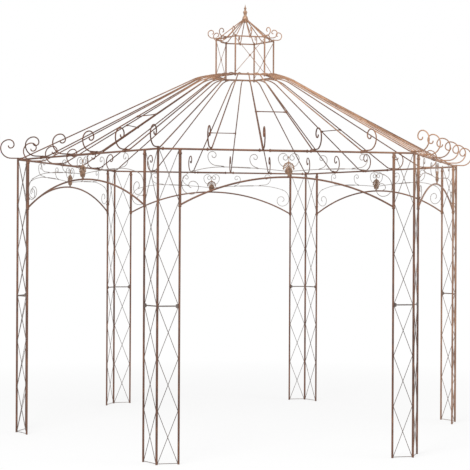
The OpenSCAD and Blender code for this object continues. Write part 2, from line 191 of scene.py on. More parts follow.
def aged_look_and_painted_light_group() -> bpy.types.NodeTree:
    """Build the effect that every iron finish shares.

    It mottles a brown coat with darker cloud and rust, runs faint streaks down the uprights,
    paints light on one side of the pavilion and on the crown as a pale copper, lays rust on
    the undersides of level members, and copper on what faces up that is partly scuffing and
    partly a painted highlight, and pits the surface.

    Returns:
        The node group, with colour, roughness and height outputs.
    """
    group = bpy.data.node_groups.new("aged_look_and_painted_light", "ShaderNodeTree")
    for way, kind, names in (("INPUT", "Color", ("Coat", "Shade", "Rust", "Scuffed_copper_and_highlight", "Painted_light")),
                             ("INPUT", "Float", ("Mottle", "Rusting", "Scuff_and_highlight_share", "Painted_light_share", "Gloss")),
                             ("OUTPUT", "Color", ("Color",)), ("OUTPUT", "Float", ("Roughness", "Height"))):
        for name in names:
            group.interface.new_socket(name=name, in_out=way, socket_type="NodeSocket" + kind)
    sheet = NodeSheet(group)
    given = sheet.add("NodeGroupInput").outputs
    place = sheet.add("TexCoord").outputs["Object"]
    drawn_out = sheet.add("Mapping", in_Vector=place, in_Scale=(55.0, 55.0, 2.2)).outputs[0]
    broad = sheet.noise(place, 1.6, 3.0)
    patch = sheet.noise(place, given["Mottle"], 3.0)
    streak = sheet.noise(drawn_out, 1.0, 3.0)
    grain = sheet.noise(place, 420.0, 4.0, 0.6)
    pit = sheet.add("TexVoronoi", in_Vector=place, in_Scale=260.0).outputs["Distance"]

    tone = sheet.math("ADD", sheet.times(broad, 0.6), sheet.times(patch, 0.4))
    coat = sheet.mix(sheet.ramp(tone, 0.36, 0.60), given["Shade"], given["Coat"])
    coat = sheet.mix(sheet.ramp(streak, 0.52, 0.78, 0.0, 0.4), coat, given["Shade"])
    # Painted light: the crown and one side of the pavilion are painted a pale copper, as if lit.
    painted_light = sheet.times(painted_light_mask(sheet, place, broad), given["Painted_light_share"])
    coat = sheet.mix(painted_light, coat, given["Painted_light"])
    upward = sheet.add("SeparateXYZ", sheet.add("NewGeometry").outputs["Normal"]).outputs[2]
    under = sheet.ramp(upward, -0.2, -0.95, 0.0, 0.55)
    rusted = sheet.times(sheet.most(sheet.ramp(patch, 0.5, 0.75), under), given["Rusting"])
    coat = sheet.mix(rusted, coat, given["Rust"])
    # Painted highlight with scuffing: faces that point up are painted a lighter copper as if lit from above, broken by
    # noise; fine specks of scuffing join them.
    scuff_and_top_highlight = sheet.times(sheet.ramp(upward, 0.15, 0.95), sheet.ramp(sheet.noise(place, 34.0, 5.0, 0.6), 0.34, 0.62))
    speck = sheet.ramp(sheet.noise(place, 150.0, 4.0, 0.65), 0.6, 0.74)
    scuffed_copper_and_highlight = sheet.times(sheet.most(scuff_and_top_highlight, sheet.times(speck, 0.2)), given["Scuff_and_highlight_share"])
    coat = sheet.mix(scuffed_copper_and_highlight, coat, given["Scuffed_copper_and_highlight"])

    rough = sheet.math("ADD", given["Gloss"], sheet.ramp(patch, 0.3, 0.7, 0.0, 0.22))
    rough = sheet.math("ADD", rough, sheet.times(grain, 0.08))
    height = sheet.math("ADD", sheet.times(grain, 0.5), sheet.times(patch, 0.7))
    height = sheet.math("SUBTRACT", height, sheet.times(sheet.ramp(pit, 0.0, 0.28, 1.0, 0.0), 0.35))
    sheet.add("NodeGroupOutput", coat, rough, height)
    return group


def painted_light_mask(sheet: NodeSheet, place: Socket, cloud: Socket) -> Socket:
    """Mask of painted light: the crown and lantern, and one side of the pavilion, painted a paler copper as if lit.

    Args:
        sheet: Sheet of the node group.
        place: Coordinates in the pavilion's axes.
        cloud: Noise that frays the mask's edge.

    Returns:
        The mask, from 0 to 1.
    """
    frayed = sheet.add("VectorMath", place, sheet.times(cloud, -0.3), operation="SUBTRACT")
    east, north, height = sheet.add("SeparateXYZ", frayed.outputs[0]).outputs

    def along(angle: float) -> Socket:
        """Distance outward in one level direction."""
        return sheet.math("ADD", sheet.times(east, math.cos(angle)), sheet.times(north, math.sin(angle)))

    out = along(-TURN / 2)
    aside = sheet.times(sheet.math("ABSOLUTE", along(TURN)), 1.6)
    slope = sheet.times(sheet.ramp(sheet.math("SUBTRACT", out, aside), -0.05, 0.05),
                        sheet.ramp(height, 2.33, 2.36))
    eave = sheet.times(sheet.ramp(out, 1.25, 1.85), sheet.ramp(height, 2.05, 2.45))
    post = sheet.ramp(east, 1.75, 2.05, 0.0, 0.8)
    crown = sheet.ramp(height, 3.0, 3.27, 0.0, 0.85)
    mask = sheet.most(sheet.most(slope, eave), sheet.most(post, crown))
    return sheet.times(mask, sheet.ramp(sheet.noise(place, 4.0, 2.0), 0.36, 0.58, 0.45, 1.0))


@dataclass(frozen=True)
class IronFinish:
    """An aged brown finish over iron, with painted light and a painted highlight in its colour.

    Attributes:
        slot: Material slot that the finish fills.
        coat: Main colour of the coat.
        shade: Colour in its darker parts.
        rust: Colour of the rust patches.
        scuffed_copper_and_highlight: Colour where it is scuffed or dusty, and of the painted highlight on what faces
            up.
        painted_light: Colour of the painted light on the crown and one side.
        mottle: Patches in a metre.
        rusting: Share of rust.
        scuff_and_highlight_share: Share of the scuffs and of the painted highlight.
        painted_light_share: Share of the painted light's colour.
        gloss: Lowest roughness.
        metallic: How metallic the coat is.
        relief: Depth of the surface's grain.
    """

    slot: Slot
    coat: Point
    shade: Point
    rust: Point
    scuffed_copper_and_highlight: Point
    painted_light: Point = (0.430, 0.255, 0.165)
    mottle: float = 12.0
    rusting: float = 0.4
    scuff_and_highlight_share: float = 0.5
    painted_light_share: float = 0.8
    gloss: float = 0.42
    metallic: float = 0.5
    relief: float = 0.0006

    def material(self, effect: bpy.types.NodeTree) -> bpy.types.Material:
        """Make the material.

        Args:
            effect: The node group of the aged look and of the painted light.

        Returns:
            The material, named after its slot.
        """
        made = bpy.data.materials.new(self.slot.value)
        made.use_nodes = True
        sheet = NodeSheet(made.node_tree)
        aged = sheet.add("Group", node_tree=effect)
        for socket in aged.inputs:
            value = getattr(self, socket.name.lower())
            socket.default_value = (*value, 1.0) if isinstance(value, tuple) else value
        bump = sheet.add("Bump", in_Height=aged.outputs["Height"], in_Strength=0.6, in_Distance=self.relief)
        shader = sheet.add("BsdfPrincipled", in_Base_Color=aged.outputs["Color"],
                           in_Roughness=aged.outputs["Roughness"], in_Metallic=self.metallic,
                           in_Normal=bump.outputs[0])
        sheet.add("OutputMaterial", shader.outputs[0])
        return made


IRON_FINISHES = (
    IronFinish(Slot.TUBE, (0.212, 0.106, 0.070), (0.100, 0.050, 0.035), (0.300, 0.138, 0.070),
               (0.370, 0.225, 0.150), scuff_and_highlight_share=0.3),
    IronFinish(Slot.LATTICE, (0.190, 0.156, 0.142), (0.100, 0.082, 0.075), (0.265, 0.172, 0.130),
               (0.400, 0.320, 0.265), mottle=20.0, rusting=0.25, painted_light_share=0.4),
    IronFinish(Slot.SCROLL, (0.290, 0.250, 0.230), (0.170, 0.147, 0.136), (0.330, 0.235, 0.185),
               (0.480, 0.410, 0.350), mottle=20.0, rusting=0.25, painted_light_share=0.35),
    IronFinish(Slot.ROOF, (0.142, 0.054, 0.026), (0.062, 0.025, 0.015), (0.235, 0.090, 0.038),
               (0.300, 0.160, 0.092), (0.535, 0.310, 0.190), mottle=16.0, scuff_and_highlight_share=0.35, painted_light_share=0.9, metallic=0.4),
    IronFinish(Slot.CAST, (0.360, 0.228, 0.156), (0.150, 0.092, 0.064), (0.420, 0.230, 0.125),
               (0.580, 0.430, 0.310), mottle=60.0, scuff_and_highlight_share=0.7, painted_light_share=0.5, gloss=0.36, metallic=0.6, relief=0.0008),
)


# ---------------------------------------------------------------- shapes


@dataclass(frozen=True)
class Stock:
    """Bars that the frame is made of: radius of a round one, half the side of a square one.

    Attributes:
        corner: Corner tube.
        sleeve: Sleeve that ends an arch.
        beam: Eave beam.
        rafter: Rafter.
        cross_bar: Bar between two rafters.
        wire: Scrollwork.
        crown: Crown ring, square.
        post: Lantern post.
        cap: Cap ring, square.
        cap_rod: Rod of the cap.
        seat: Clearance between bars that touch.
    """

    corner: float = 0.009
    sleeve: float = 0.01095
    beam: float = 0.0075
    rafter: float = 0.005
    cross_bar: float = 0.004
    wire: float = 0.0025
    crown: float = 0.007
    post: float = 0.007
    cap: float = 0.005
    cap_rod: float = 0.004
    seat: float = 0.00015


STOCK = Stock()


def polar(radius: float, angle: float, height: float = 0.0) -> Vector:
    """Point at a distance and an angle round local Z."""
    return Vector((radius * math.cos(angle), radius * math.sin(angle), height))


def moved(x: float, y: float, z: float = 0.0) -> Matrix:
    """Move without a turn."""
    return Matrix.Translation((x, y, z))


def framed(x_axis: Vector, y_axis: Vector, z_axis: Vector) -> Matrix:
    """Turn whose axes are the given ones."""
    return Matrix((x_axis, y_axis, z_axis)).transposed().to_4x4()


def facing(origin: Vector, outward: Vector) -> Matrix:
    """Place a fitting whose local Z points outward.

    Args:
        origin: Where it stands.
        outward: Direction of its axis.

    Returns:
        The placing matrix.
    """
    z_axis = outward.normalized()
    upright = abs(z_axis.dot(UP)) > 0.99
    x_axis = (Vector((1.0, 0.0, 0.0)) if upright else UP).cross(z_axis).normalized()
    return Matrix.Translation(origin) @ framed(x_axis, z_axis.cross(x_axis), z_axis)


def lifted(angle: float) -> Matrix:
    """Vertical plane through the middle of the plan: X outward at an angle, Y up."""
    out = polar(1.0, angle)
    return framed(out, UP, out.cross(UP))


def curl_end(radii: Sequence[float]) -> Matrix:
    """Follow a curl of quarter turns that starts at the origin along +X and then to the left.

    Args:
        radii: Radius of each quarter turn.

    Returns:
        The place of its end, with local X along the rod.
    """
    centre = Vector((0.0, radii[0], 0.0))
    for quarter, (wide, narrow) in enumerate(zip(radii, radii[1:])):
        centre += polar(wide - narrow, quarter * math.pi / 2)
    way = (len(radii) - 1) * math.pi / 2
    return Matrix.Translation(centre + polar(radii[-1], way)) @ Matrix.Rotation(way + math.pi / 2, 4, "Z")


def stood(name: str, data: bpy.types.ID) -> bpy.types.Object:
    """Put a new object in the scene.

    Args:
        name: Its name.
        data: Its mesh, camera or light.

    Returns:
        The object.
    """
    made = bpy.data.objects.new(name, data)
    bpy.context.scene.collection.objects.link(made)
    return made


class Forge:
    """Gathers the solids of one kind of fitting into a mesh."""

    def __init__(self) -> None:
        """Start with an empty mesh."""
        self.mesh = bmesh.new()

    def bridge(self, rows: Sequence[Sequence[Vector]], capped: bool = False) -> None:
        """Skin rings of points, one after another.

        Args:
            rows: Rows of equally many points, or of a single point at a pole.
            capped: Whether the two ends are closed, and not joined to each other.
        """
        rings = [[self.mesh.verts.new(point) for point in row] for row in rows]
        if not capped and len(rings[0]) > 1 and len(rings[-1]) > 1:
            rings.append(rings[0])
        around = max(len(ring) for ring in rings)
        for lower, upper in zip(rings, rings[1:]):
            for i in range(around):
                j = (i + 1) % around
                corners = (lower[i % len(lower)], lower[j % len(lower)], upper[j % len(upper)], upper[i % len(upper)])
                self.mesh.faces.new(list(dict.fromkeys(corners)))
        if capped:
            self.mesh.faces.new(rings[0][::-1])
            self.mesh.faces.new(rings[-1])

    def turned(self, outline: Outline, place: Matrix, around: int = 20) -> None:
        """Add a turned solid, or a ring where its outline ends off the axis.

        Args:
            outline: Radius and height pairs, from one end of the axis to the other.
            place: Where it stands, with the axis along local Z.
            around: Faces around it.
        """
        self.bridge([[place @ polar(radius, 2 * math.pi * i / around, height)
                      for i in range(around if radius > 1e-6 else 1)] for radius, height in outline])

    def swept(self, path: Sequence[Vector], radii: float | Sequence[float], up: Vector, around: int = 8,
              flat: float = 1.0) -> None:
        """Add a rod that follows a path.

        Args:
            path: Points of its centre line.
            radii: Radius at each point, or the same at all of them.
            up: Direction in which it is flattened.
            around: Faces around it.
            flat: Thickness along up, as a share of its width.
        """
        rows = []
        last = len(path) - 1
        for i, point in enumerate(path):
            radius = radii if isinstance(radii, float) else radii[i]
            along = (path[min(i + 1, last)] - path[max(i - 1, 0)]).normalized()
            across = up.cross(along).normalized()
            rise = along.cross(across)
            section = [polar(radius, 2 * math.pi * k / around) for k in range(around)]
            rows.append([point + across * spot.x + rise * (spot.y * flat) for spot in section])
        self.bridge(rows, capped=True)

    def ring(self, radius: float, thickness: float, place: Matrix, around: int = 24, section: int = 8) -> None:
        """Add a closed ring of round section about local Z.

        Args:
            radius: Radius of its centre line.
            thickness: Radius of its section.
            place: Where it lies.
            around: Faces around the ring.
            section: Faces around the section.
        """
        turns = [2 * math.pi * k / section for k in range(section)]
        self.turned([(radius + thickness * math.cos(t), thickness * math.sin(t)) for t in turns], place, around)

    def collar(self, place: Matrix, radii: tuple[float, float], half: float, bevel: tuple[float, float],
               around: int = 24) -> None:
        """Add a square-edged collar about local Z, with bevels outside.

        Args:
            place: Where its middle lies.
            radii: Inner and outer radius.
            half: Half its length.
            bevel: Depth and length of a bevel.
            around: Faces around it.
        """
        inner, outer = radii
        narrow, short = outer - bevel[0], half - bevel[1]
        self.turned([(inner, -half), (narrow, -half), (outer, -short), (outer, short), (narrow, half), (inner, half)],
                    place, around)

    def bolt(self, place: Matrix, across: float, height: float, head: Head = Head.HEXAGON) -> None:
        """Add a washer and a head or nut, standing on local Z.

        Args:
            place: Where the washer rests.
            across: Width over the corners of the head.
            height: Height of the head.
            head: What shows over the washer.
        """
        wide, half, stud = across * 0.66, across / 2, across * 0.24
        low, top = height * 0.22, height * 1.22
        self.turned([(0, 0), (wide, 0), (wide, low), (0, low)], place, 18)
        if head is Head.DOME:
            crown = [(half * 0.94, low + height * 0.4), (half * 0.7, low + height * 0.78), (half * 0.36, top * 0.97)]
        else:
            crown = [(half, top - height * 0.16), (half * 0.84, top)]
        self.turned([(0, low), (half, low), *crown, (0, top)], place, 16 if head is Head.DOME else 6)
        if head is Head.NUT:
            self.turned([(0, height * 1.1), (stud, height * 1.1), (stud, height * 1.7), (stud * 0.6, height * 1.95),
                         (0, height * 2.0)], place, 12)

    def weld(self, place: Matrix, radius: float, squash: Point = (1.0, 1.0, 1.0)) -> None:
        """Add one lump of weld.

        Args:
            place: Its middle and its axes.
            radius: Its size.
            squash: Scale along each of its axes.
        """
        turns = [math.pi * step / 5 for step in range(6)]
        self.turned([(radius * math.sin(t), -radius * math.cos(t)) for t in turns],
                    place @ Matrix.Diagonal((*squash, 1.0)), 8)

    def tip(self, place: Matrix, radius: float) -> None:
        """Round off the end of a rod that runs along local X."""
        self.turned([(0, -0.0004), (radius, -0.0004), (radius, 0), (radius * 0.87, radius * 0.5),
                     (radius * 0.5, radius * 0.87), (0, radius)], place @ ALONG, 16)

    def piece(self, name: str, slot: Slot, finishes: Finishes, crease: float = 32.0) -> bpy.types.Object:
        """Turn what was gathered into a piece of the pavilion.

        Args:
            name: Name of the piece.
            slot: Material slot that it takes its finish from.
            finishes: Materials by slot.
            crease: Angle in degrees above which an edge stays sharp.

        Returns:
            The piece.
        """
        bmesh.ops.recalc_face_normals(self.mesh, faces=self.mesh.faces)
        data = bpy.data.meshes.new(name)
        self.mesh.to_mesh(data)
        self.mesh.free()
        data.shade_smooth()
        data.set_sharp_from_angle(angle=math.radians(crease))
        data.materials.append(finishes[slot])
        made = stood(name, data)
        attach(made, "root")
        LOG.info("%s: %d faces", name, len(data.polygons))
        return made


# ---------------------------------------------------------------- layout


@dataclass(frozen=True)
class Rafter:
    """Place of one rafter.

    Attributes:
        side: Frame of its side.
        bay: Its number along the side, where 0 stands on the corner.
        x: Its distance from the side's middle, along the beam.
        angle: Its direction in the plan.
    """

    side: Matrix
    bay: int
    x: float
    angle: float


@dataclass(frozen=True)
class Layout:
    """Main places of the pavilion, read from the frame.

    Attributes:
        corner_radius: Distance from the middle to a corner tube.
        eave_height: Height of the eave beams' centre line.
        arch_foot: Height of the lower end of the sleeves.
        arch_top: Height of the top of the arches.
        sleeve_place: Distance from a side's middle to a sleeve's axis.
        crown_height: Height of the crown ring's centre line.
        lantern_radius: Distance from the middle to a lantern post.
        cap_height: Height of the cap ring's centre line.
        bays: Bays between rafters along a side.
    """

    corner_radius: float
    eave_height: float
    arch_foot: float
    arch_top: float
    sleeve_place: float
    crown_height: float
    lantern_radius: float
    cap_height: float
    bays: int = 5

    @classmethod
    def from_frame(cls) -> "Layout":
        """Read the places from the CAD nodes' boxes.

        Returns:
            The layout.
        """
        beams, ring, cap, arch = (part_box(name) for name in ("eave_beams", "crown_ring", "cap_ring", "arch_2"))
        middle = [v.co.z for v in bpy.data.objects["arch_2"].data.vertices if abs(v.co.x) < 0.1]
        return cls(
            corner_radius=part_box("post_1")[1].x - STOCK.corner,
            eave_height=(beams[0].z + beams[1].z) / 2,
            arch_foot=arch[0].z,
            arch_top=max(middle),
            sleeve_place=arch[1].x - STOCK.sleeve,
            crown_height=(ring[0].z + ring[1].z) / 2,
            lantern_radius=ring[1].x - STOCK.crown / math.cos(TURN / 2),
            cap_height=(cap[0].z + cap[1].z) / 2,
        )

    @property
    def apothem(self) -> float:
        """Distance from the middle to a side."""
        return self.reach(self.corner_radius, TURN / 2)

    @staticmethod
    def reach(radius: float, angle: float) -> float:
        """Distance from the middle to the edge of a hexagon with its corners at a radius."""
        return radius * math.cos(TURN / 2) / math.cos(angle % TURN - TURN / 2)

    def sides(self) -> list[Matrix]:
        """Frames of the sides: X along a side, Y up, Z outward, with the origin under its middle.

        Returns:
            The sides' matrices, in order.
        """
        frames = []
        for index in range(SIDES):
            outward = polar(1.0, (index + 0.5) * TURN)
            frames.append(Matrix.Translation(outward * self.apothem) @ framed(UP.cross(outward), UP, outward))
        return frames

    def ends(self) -> Iterator[tuple[Matrix, int]]:
        """Each side twice, with -1 and 1 for its two ends or its two faces."""
        return ((side, way) for side in self.sides() for way in ENDS)

    def rafters(self) -> Iterator[Rafter]:
        """Find the rafters.

        Yields:
            The place of each rafter, side by side.
        """
        for index, side in enumerate(self.sides()):
            for bay in range(self.bays):
                x = (bay / self.bays - 0.5) * self.corner_radius
                yield Rafter(side, bay, x, (index + 0.5) * TURN + math.atan2(x, self.apothem))


# ---------------------------------------------------------------- fittings


@dataclass
class Fittings:
    """Base of what is added to one sub-assembly of the frame.

    Attributes:
        layout: Main places.
        finishes: Materials by slot.
    """

    layout: Layout
    finishes: Finishes

    def __post_init__(self) -> None:
        """Start with no bolts, no collars or reliefs, no welds and no rounded ends."""
        self.bolts, self.bands, self.welds, self.tips = Forge(), Forge(), Forge(), Forge()


@dataclass
class PostFittings(Fittings):
    """Bolts, collars and welds of the corner posts.

    Attributes:
        bolt: Width and height of the bolts through the sleeves.
        bolt_rise: Height of those bolts above the sleeve's lower end.
        sunk: Depth of a fitting's seat inside the sleeve's wall.
        top_collar: Place against the beam, half length and thickness of the upper collar.
        low_collar: Place against the sleeve's lower end, half length and thickness of the lower one.
        collar_bevel: Depth of a collar's bevel.
        grip: Depth of a collar inside the sleeve's surface.
        block: Half length and half height of the block beside each side tube at mid height.
        block_bolt: Width and height of its bolt.
        edges: Distance from a corner to the lattice's edges beside the corner tube and the side tube.
        foot: Height of the lowest lattice rod.
        gap: Half the gap between the lattice's lower and upper sections.
        bays: Crossed bays in each section.
        cross_weld: Size and proportions of a weld where two rods cross.
        edge_weld: Size and proportions of a weld on a tube.
    """

    bolt: tuple[float, float] = (0.011, 0.0045)
    bolt_rise: float = 0.09
    sunk: float = 0.0006
    top_collar: Point = (-0.033, 0.007, 0.0036)
    low_collar: Point = (0.006, 0.0045, 0.0022)
    collar_bevel: float = 0.0008
    grip: float = 0.001
    block: tuple[float, float] = (0.009, 0.01308)
    block_bolt: tuple[float, float] = (0.0085, 0.0022)
    edges: tuple[float, float] = (0.009, 0.158)
    foot: float = 0.008
    gap: float = 0.0026
    bays: int = 3
    cross_weld: tuple[float, Point] = (0.0036, (0.8, 1.25, 0.9))
    edge_weld: tuple[float, Point] = (0.0042, (0.5, 1.5, 0.85))

    def build(self) -> None:
        """Make the pieces."""
        for side, way in self.layout.ends():
            self._sleeve(side, way * self.layout.sleeve_place)
            self._block(side, way * (self.layout.corner_radius / 2 - self.edges[1] + self.block[0]))
            self._lattice(side, way)
        self.bolts.piece("post_bolts", Slot.TUBE, self.finishes)
        self.bands.piece("sleeve_collars", Slot.TUBE, self.finishes)
        self.welds.piece("lattice_welds", Slot.LATTICE, self.finishes, crease=80)

    @property
    def middle(self) -> float:
        """Height at which the two sections of a lattice meet."""
        return (self.foot + self.layout.eave_height) / 2

    def _sleeve(self, side: Matrix, x: float) -> None:
        """Bolt one sleeve through and ring it at both ends.

        Args:
            side: Frame of its side.
            x: Distance from the side's middle.
        """
        for out in ENDS:
            point = side @ Vector((x, self.layout.arch_foot + self.bolt_rise, out * (STOCK.sleeve - self.sunk)))
            head = Head.HEXAGON if out > 0 else Head.NUT
            self.bolts.bolt(facing(point, side.to_3x3() @ (UP * out)), *self.bolt, head)
        for level, (rise, half, over) in ((self.layout.eave_height, self.top_collar),
                                          (self.layout.arch_foot, self.low_collar)):
            radii = (STOCK.sleeve - self.grip, STOCK.sleeve + over)
            place = facing(side @ Vector((x, level + rise, 0)), UP)
            self.bands.collar(place, radii, half, (self.collar_bevel, half / 2), 28)

    def _block(self, side: Matrix, x: float) -> None:
        """Bolt the two sections of a post together beside its side tube.

        Args:
            side: Frame of its side.
            x: Distance from the side's middle.
        """
        for up in ENDS:
            point = side @ Vector((x, self.middle + up * self.block[1], 0))
            self.bolts.bolt(facing(point, UP * up), *self.block_bolt, Head.DOME if up > 0 else Head.HEXAGON)

    def _lattice(self, side: Matrix, way: int) -> None:
        """Weld one lattice's rods to each other and to the tubes.

        Args:
            side: Frame of its side.
            way: Which end of the side it stands at.
        """
        corner, (inner, outer) = self.layout.corner_radius / 2, self.edges
        for low, high in ((self.foot, self.middle - self.gap), (self.middle + self.gap, self.layout.eave_height)):
            pitch = (high - low) / self.bays
            for bay in range(self.bays):
                crossing = moved(way * (corner - (inner + outer) / 2), low + (bay + 0.5) * pitch)
                self.welds.weld(side @ crossing, *self.cross_weld)
            for level in range(self.bays + 1):
                if low + level * pitch > self.layout.eave_height - 0.02:
                    continue
                for edge in self.edges:
                    self.welds.weld(side @ moved(way * (corner - edge), low + level * pitch), *self.edge_weld)


@dataclass
class BeamFittings(Fittings):
    """Screws on the beams' couplings, and the seats of the rafters.

    Attributes:
        clamp_place: Distance from the side's middle to the middle of a coupling's clamp ring.
        clamp_face: Distance from the beam's axis to a screw's washer.
        screw: Width and height of its screw.
        strap: Radius of a rafter's strap.
        strap_gap: Room between a rafter's side, and its top, and the strap's centre line.
        lugs: Distance from a rafter to its lug, at a corner and elsewhere.
        lug: Outer radius and half length of a lug.
        lug_grip: Depth of a lug inside the beam, and of its screw inside the lug.
        lug_bevel: Depth and length of a lug's bevels.
        lug_screw: Width and height of its screw.
        foot_reach: Level length of a rafter outside the beam's centre line.
        foot_curl: Radii of the quarter turns of a rafter's end.
    """

    clamp_place: float = 0.145
    clamp_face: float = 0.0115
    screw: tuple[float, float] = (0.0085, 0.0035)
    strap: float = 0.0019
    strap_gap: tuple[float, float] = (0.0017, 0.0012)
    lugs: tuple[float, float] = (0.036, -0.026)
    lug: tuple[float, float] = (0.0112, 0.0065)
    lug_grip: float = 0.0008
    lug_bevel: tuple[float, float] = (0.001, 0.001)
    lug_screw: tuple[float, float] = (0.0090, 0.0032)
    foot_reach: float = 0.060
    foot_curl: tuple[float, ...] = (0.088, 0.072, 0.042, 0.030, 0.018)

    def build(self) -> None:
        """Make the pieces."""
        for side, way in self.layout.ends():
            for out in ENDS:
                point = side @ Vector((way * self.clamp_place, self.layout.eave_height, out * self.clamp_face))
                head = Head.HEXAGON if out > 0 else Head.NUT
                self.bolts.bolt(facing(point, side.to_3x3() @ (UP * out)), *self.screw, head)
        level = self.layout.eave_height + STOCK.beam + STOCK.rafter + STOCK.seat
        for rafter in self.layout.rafters():
            reach = self.layout.reach(self.layout.corner_radius, rafter.angle)
            self._strap(polar(reach, rafter.angle, self.layout.eave_height), polar(1.0, rafter.angle))
            self._lug(rafter.side, rafter.x + self.lugs[rafter.bay > 0])
            start = moved(reach + self.foot_reach, level)
            self.tips.tip(lifted(rafter.angle) @ start @ curl_end(self.foot_curl), STOCK.rafter)
        self.bolts.piece("beam_screws", Slot.TUBE, self.finishes)
        self.bands.piece("rafter_seats", Slot.TUBE, self.finishes)
        self.tips.piece("rafter_tips", Slot.ROOF, self.finishes, crease=60)

    def _strap(self, centre: Vector, out: Vector) -> None:
        """Strap one rafter down on the beam.

        Args:
            centre: Point of the beam's axis under the rafter.
            out: Direction of the rafter.
        """
        wide, top = STOCK.rafter + self.strap_gap[0], STOCK.beam + 2 * STOCK.rafter + self.strap_gap[1]
        low, shoulder = -STOCK.beam * 0.3, top - 0.004
        path = [centre + UP.cross(out) * (x * wide) + UP * z
                for x, z in ((-1, low), (-1, shoulder), (-0.6, top), (0.6, top), (1, shoulder), (1, low))]
        self.bands.swept(path, self.strap, out)
        for way in ENDS:
            foot = centre + UP.cross(out) * (way * wide) + UP * (STOCK.beam * 0.75)
            self.bands.weld(facing(foot, out), self.strap * 2, (1.1, 0.9, 1.2))

    def _lug(self, side: Matrix, x: float) -> None:
        """Clamp a lug round the beam beside a rafter.

        Args:
            side: Frame of its side.
            x: Distance from the side's middle.
        """
        place, radii = side @ moved(x, self.layout.eave_height), (STOCK.beam - self.lug_grip, self.lug[0])
        self.bands.collar(place @ ALONG, radii, self.lug[1], self.lug_bevel)
        self.bolts.bolt(facing(place @ Vector((0, self.lug[0] - self.lug_grip, 0)), UP), *self.lug_screw)


@dataclass
class RoofFittings(Fittings):
    """Clamps that hold the bar in the middle bay of each roof side to its two rafters.

    Attributes:
        bar_place: Distance from the middle of the plan to a bar.
        bar_height: Height of a bar.
        bar: Half length of a bar.
        slope: Slope of the rafters beside a bar.
        aside: Angle in plan between those rafters and the middle of the side.
        clamp: Thickness and half length of a clamp.
        grip: Depth of a clamp inside the rafter's surface.
        bevel: Depth and length of its bevels, and depth of its bolt's seat.
        inset: Distance from a bar's end to the middle of its socket.
        socket: Length along the bar and thickness at each step of a clamp's socket.
        bolt: Width and height of a clamp's bolt.
    """

    bar_place: float = 1.0944
    bar_height: float = 2.7179
    bar: float = 0.1207
    slope: float = math.radians(29.78)
    aside: float = math.atan2(0.2, 1.7320508)
    clamp: tuple[float, float] = (0.0022, 0.009)
    grip: float = 0.0005
    bevel: float = 0.0006
    inset: float = 0.010
    socket: Outline = ((-0.008, -0.0004), (-0.007, 0.0014), (0.004, 0.0018), (0.009, -0.0004))
    bolt: tuple[float, float] = (0.0070, 0.0028)

    def build(self) -> None:
        """Make the piece."""
        for side, way in self.layout.ends():
            self._clamp(side @ moved(0, self.bar_height, self.bar_place - self.layout.apothem), way)
        self.bands.piece("roof_clamps", Slot.TUBE, self.finishes)

    def _clamp(self, bar: Matrix, way: int) -> None:
        """Close a sleeve round the rafter at one end of a bar, with a socket and a bolt.

        Args:
            bar: Frame of the bar's middle.
            way: Which end of the bar.
        """
        level, turn = math.cos(self.slope), bar.to_3x3()
        axis = turn @ Vector((way * math.sin(self.aside) * level, -math.sin(self.slope), math.cos(self.aside) * level))
        centre = bar @ Vector((way * self.bar_place * math.tan(self.aside), 0, 0))
        outer = STOCK.rafter + self.clamp[0]
        self.bands.collar(facing(centre, axis), (STOCK.rafter - self.grip, outer), self.clamp[1],
                          (self.bevel, self.bevel))
        end = bar @ moved(way * (self.bar - self.inset), 0) @ Matrix.Rotation(way * math.pi / 2, 4, "Y")
        self.bands.turned([(STOCK.cross_bar + over, length) for length, over in self.socket], end)
        upward = axis.cross(turn @ Vector((-1, 0, 0))).normalized()
        self.bands.bolt(facing(centre + upward * (outer - self.bevel), upward), *self.bolt)


